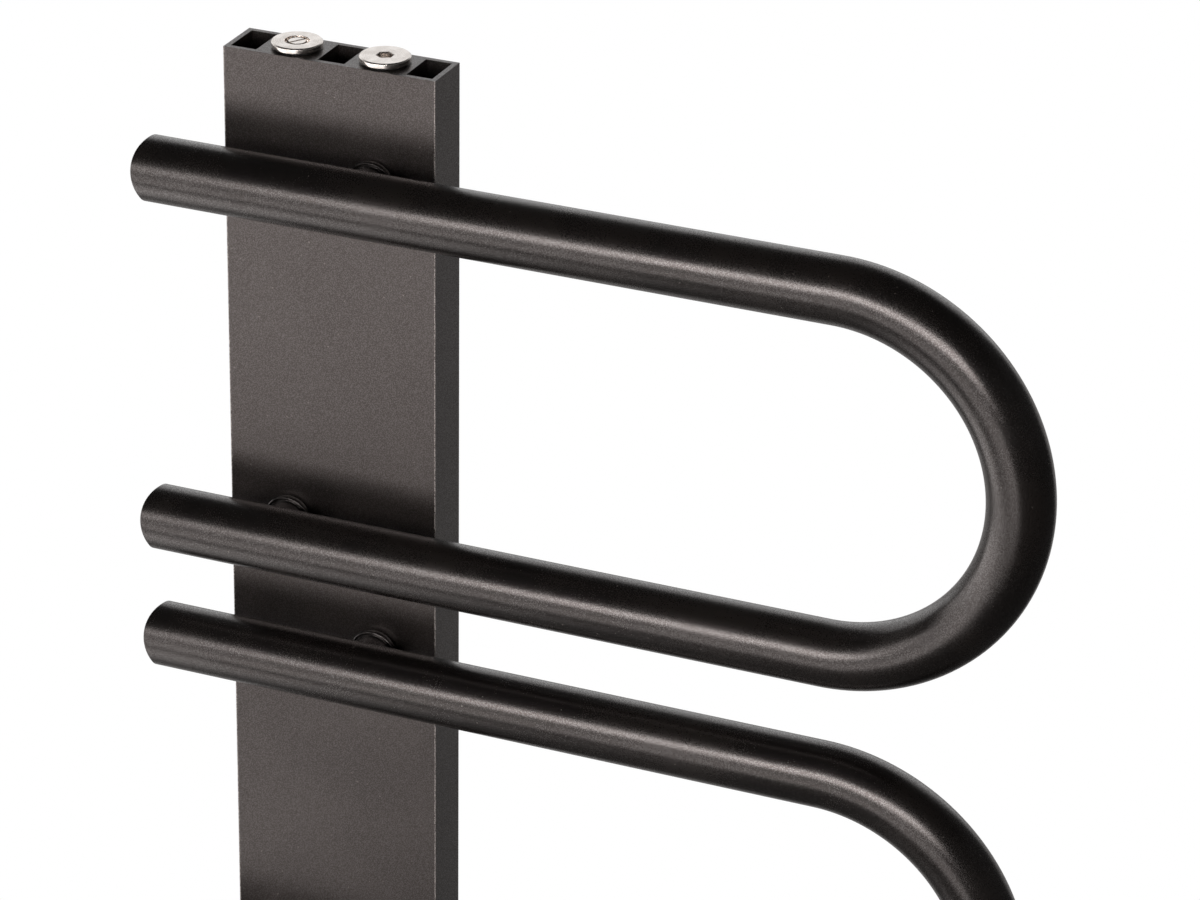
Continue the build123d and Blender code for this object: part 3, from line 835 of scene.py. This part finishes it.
white = rgb(1.0, 1.0, 1.0)
lightTint = rgb(1.0, 0.965, 0.95)
floorLook = {"gap": 1.0 * mm, "size": 40.0, "steps": 9, "near": 0.25, "far": 0.95,
             "pale": rgb(0.80, 0.79, 0.78), "shade": rgb(0.74, 0.73, 0.72), "shadeShare": 0.2,
             "cloudPerMetre": 3.0}
cardLook = {"glowCentre": (-0.85, -0.595, 0.0), "glowStretch": (1.0, 0.85, 0.0), "glowReach": (0.10, 0.74),
            "glow": 2.1, "front": 0.10, "frontEdge": (-0.60, 0.45), "rear": 0.32, "rearEdge": (-0.25, 0.10),
            "rearSlope": 0.6, "behindEdge": (-0.10, 0.40), "dim": 0.05}
wallLook = {"centre": (0.10, -0.10), "radius": 1.90, "azimuth": (-100.0, 30.0), "height": (-0.565, 1.27),
            "steps": (64, 24), "keyFoot": (0.62, 0.72), "keyEdge": (-28.0, -20.0), "key": 8.3,
            "upperEnd": (-62.0, -46.0), "upper": 2.0, "midEdge": (-0.10, 0.30), "midDrop": 0.52,
            "lowEdge": (19.0, 24.0), "low": 1.74, "sideEdge": (-70.0, -15.0), "side": 0.70}
worldLook = {"tint": rgb(1.0, 0.98, 0.965), "backdrop": 0.85, "ceiling": 0.03, "front": 0.10, "fill": 0.05,
             "ceilingEdge": (0.50, 0.66), "northEdge": (-0.15, 0.35), "eastEdge": (0.05, 0.40),
             "frontEdge": (-0.10, 0.30)}
cameraLook = {"yaw": 22.76, "pitch": 25.21, "roll": -0.85, "lens": 150.0, "sensor": 36.0, "distance": 2.5695,
              "clip": (0.05, 200.0), "imageSize": (1200, 900), "cornerPixel": (223.06, 46.05)}


def makeStage(name, grid, finish):
    points, quads = gridShell(grid, loopColumns=False)
    mesh = bpy.data.meshes.new(name)
    mesh.from_pydata(points.tolist(), [], quads.tolist())
    mesh.materials.append(finish)
    surface = bpy.data.objects.new(name, mesh)
    bpy.context.scene.collection.objects.link(surface)
    return surface


# A pale floor that keeps the shadow near the rack and turns white further off, for the camera alone.
# To the rack it is a card that glows at the left, less at the front and behind, and is dim elsewhere
def floorFinish(look, card):
    material, graph = newFinish("paleFloor")
    place = graph.place()
    east, north = graph.along(place, "X"), graph.along(place, "Y")
    stretched = graph.vector("MULTIPLY", place, card["glowStretch"])
    fromGlow = graph.vector("DISTANCE", stretched, card["glowCentre"], "Value")
    front = (1.0 - east.smooth(*card["frontEdge"])) * card["front"]
    front = front + (1.0 - fromGlow.smooth(*card["glowReach"])) * card["glow"]
    rear = (1.0 - (east - north * card["rearSlope"]).smooth(*card["rearEdge"])) * card["rear"]
    behind = north.smooth(*card["behindEdge"])
    level = card["dim"] + front * (1.0 - behind) + rear * behind
    lit = graph.glow(graph.scaled(lightTint, level))
    cloud = graph.noise(place, look["cloudPerMetre"], detail=3.0)
    tone = graph.blend(cloud * look["shadeShare"], look["pale"], look["shade"])
    matt = graph.add("ShaderNodeBsdfDiffuse", None, {"Color": tone})
    distance = graph.vector("LENGTH", place, output="Value")
    plain = graph.mixShader(distance.smooth(look["near"], look["far"]), matt, graph.glow(white))
    graph.show(graph.mixShader(graph.ray("Camera"), lit, plain))
    return material


# point(u, v) = (u, v, a gap below the rack)
def makeFloor(look):
    span = np.linspace(-look["size"] / 2, look["size"] / 2, look["steps"])
    u, v = np.meshgrid(span, span, indexing="ij")
    level = np.full(u.shape, cadBox[0][2] - look["gap"])
    makeStage("floor", np.stack([u, v, level], axis=2), floorFinish(look, cardLook))


# One curved light wall at the front left: a bright key above, a glow below that is weaker towards the key,
# and a side glow that grows to the left
def wallFinish(look):
    material, graph = newFinish("lightWall")
    place = graph.place()
    east = graph.along(place, "X") - look["centre"][0]
    south = look["centre"][1] - graph.along(place, "Y")
    height = graph.along(place, "Z")
    azimuth = east.math("ARCTAN2", south) * (180.0 / math.pi)
    key = azimuth.smooth(*look["keyEdge"])
    upper = azimuth.smooth(*look["upperEnd"]) * look["upper"] + key * (look["key"] - look["upper"])
    low = (1.0 - azimuth.smooth(*look["lowEdge"])) * look["low"]
    low = low * (1.0 - height.smooth(*look["midEdge"]) * look["midDrop"])
    low = low + (1.0 - azimuth.smooth(*look["sideEdge"])) * look["side"]
    above = height.smooth(*look["keyFoot"])
    graph.show(graph.glow(graph.scaled(lightTint, above * upper + (1.0 - above) * low)))
    return material


# point(a, z) = centre + radius * (sin a, -cos a), z, where a = 0 looks straight from the front
def makeWall(look):
    azimuth = np.radians(np.linspace(*look["azimuth"], look["steps"][0]))
    a, z = np.meshgrid(azimuth, np.linspace(*look["height"], look["steps"][1]), indexing="ij")
    x = look["centre"][0] + look["radius"] * np.sin(a)
    y = look["centre"][1] - look["radius"] * np.cos(a)
    wall = makeStage("lightWall", np.stack([x, y, z], axis=2), wallFinish(look))
    wall.visible_camera = False


# A pale backdrop behind the rack, a dark ceiling and dim sides. The camera sees plain white, and so does
# metal that mirrors the backdrop
def makeWorld(look):
    world = bpy.data.worlds.new("studio")
    world.use_nodes = True
    graph = Graph(world.node_tree)
    direction = graph.place("Generated")
    eastward, northward, upward = (graph.along(direction, axis) for axis in "XYZ")
    low = 1.0 - upward.smooth(*look["ceilingEdge"])
    behind = northward.smooth(*look["northEdge"]) * (1.0 - eastward.smooth(*look["eastEdge"]))
    front = (1.0 - eastward.smooth(*look["frontEdge"])) * look["front"] + look["fill"]
    level = look["ceiling"] + low * (behind * look["backdrop"] + (1.0 - behind) * front)
    mirrored = graph.ray("Glossy").math("MAXIMUM", graph.ray("Transmission"))
    seen = graph.ray("Camera").math("MAXIMUM", mirrored * low * behind)
    studio = graph.add("ShaderNodeBackground", None, {"Color": graph.scaled(look["tint"], level)})
    plain = graph.add("ShaderNodeBackground", None, {"Color": white})
    graph.show(graph.mixShader(seen, studio, plain), "World")
    bpy.context.scene.world = world


# The camera stands where the column's top front left corner falls on its pixel, at the given distance
def makeCamera(look):
    yaw, pitch, roll = (math.radians(look[name]) for name in ("yaw", "pitch", "roll"))
    ahead = Vector((-math.sin(yaw) * math.cos(pitch), math.cos(yaw) * math.cos(pitch), -math.sin(pitch)))
    level = Vector((math.cos(yaw), math.sin(yaw), 0.0))
    plumb = ahead.cross(level)
    right = math.cos(roll) * level + math.sin(roll) * plumb
    down = -math.sin(roll) * level + math.cos(roll) * plumb
    width, height = look["imageSize"]
    focal = look["lens"] / look["sensor"] * width
    offX = (look["cornerPixel"][0] - width / 2) / focal
    offY = (look["cornerPixel"][1] - height / 2) / focal
    corner = Vector((columnLow[0], columnLow[1], columnHigh[2]))
    lens = bpy.data.cameras.new("camera")
    lens.lens, lens.sensor_width = look["lens"], look["sensor"]
    lens.clip_start, lens.clip_end = look["clip"]
    camera = bpy.data.objects.new("camera", lens)
    camera.matrix_world = Matrix((right, -down, -ahead)).transposed().to_4x4()
    camera.location = corner - (offX * right + offY * down + ahead) * look["distance"]
    bpy.context.scene.collection.objects.link(camera)
    bpy.context.scene.camera = camera


makeFloor(floorLook)
makeWall(wallLook)
makeWorld(worldLook)
makeCamera(cameraLook)
bpy.context.scene.view_settings.view_transform = "Standard"
print("stage ready")
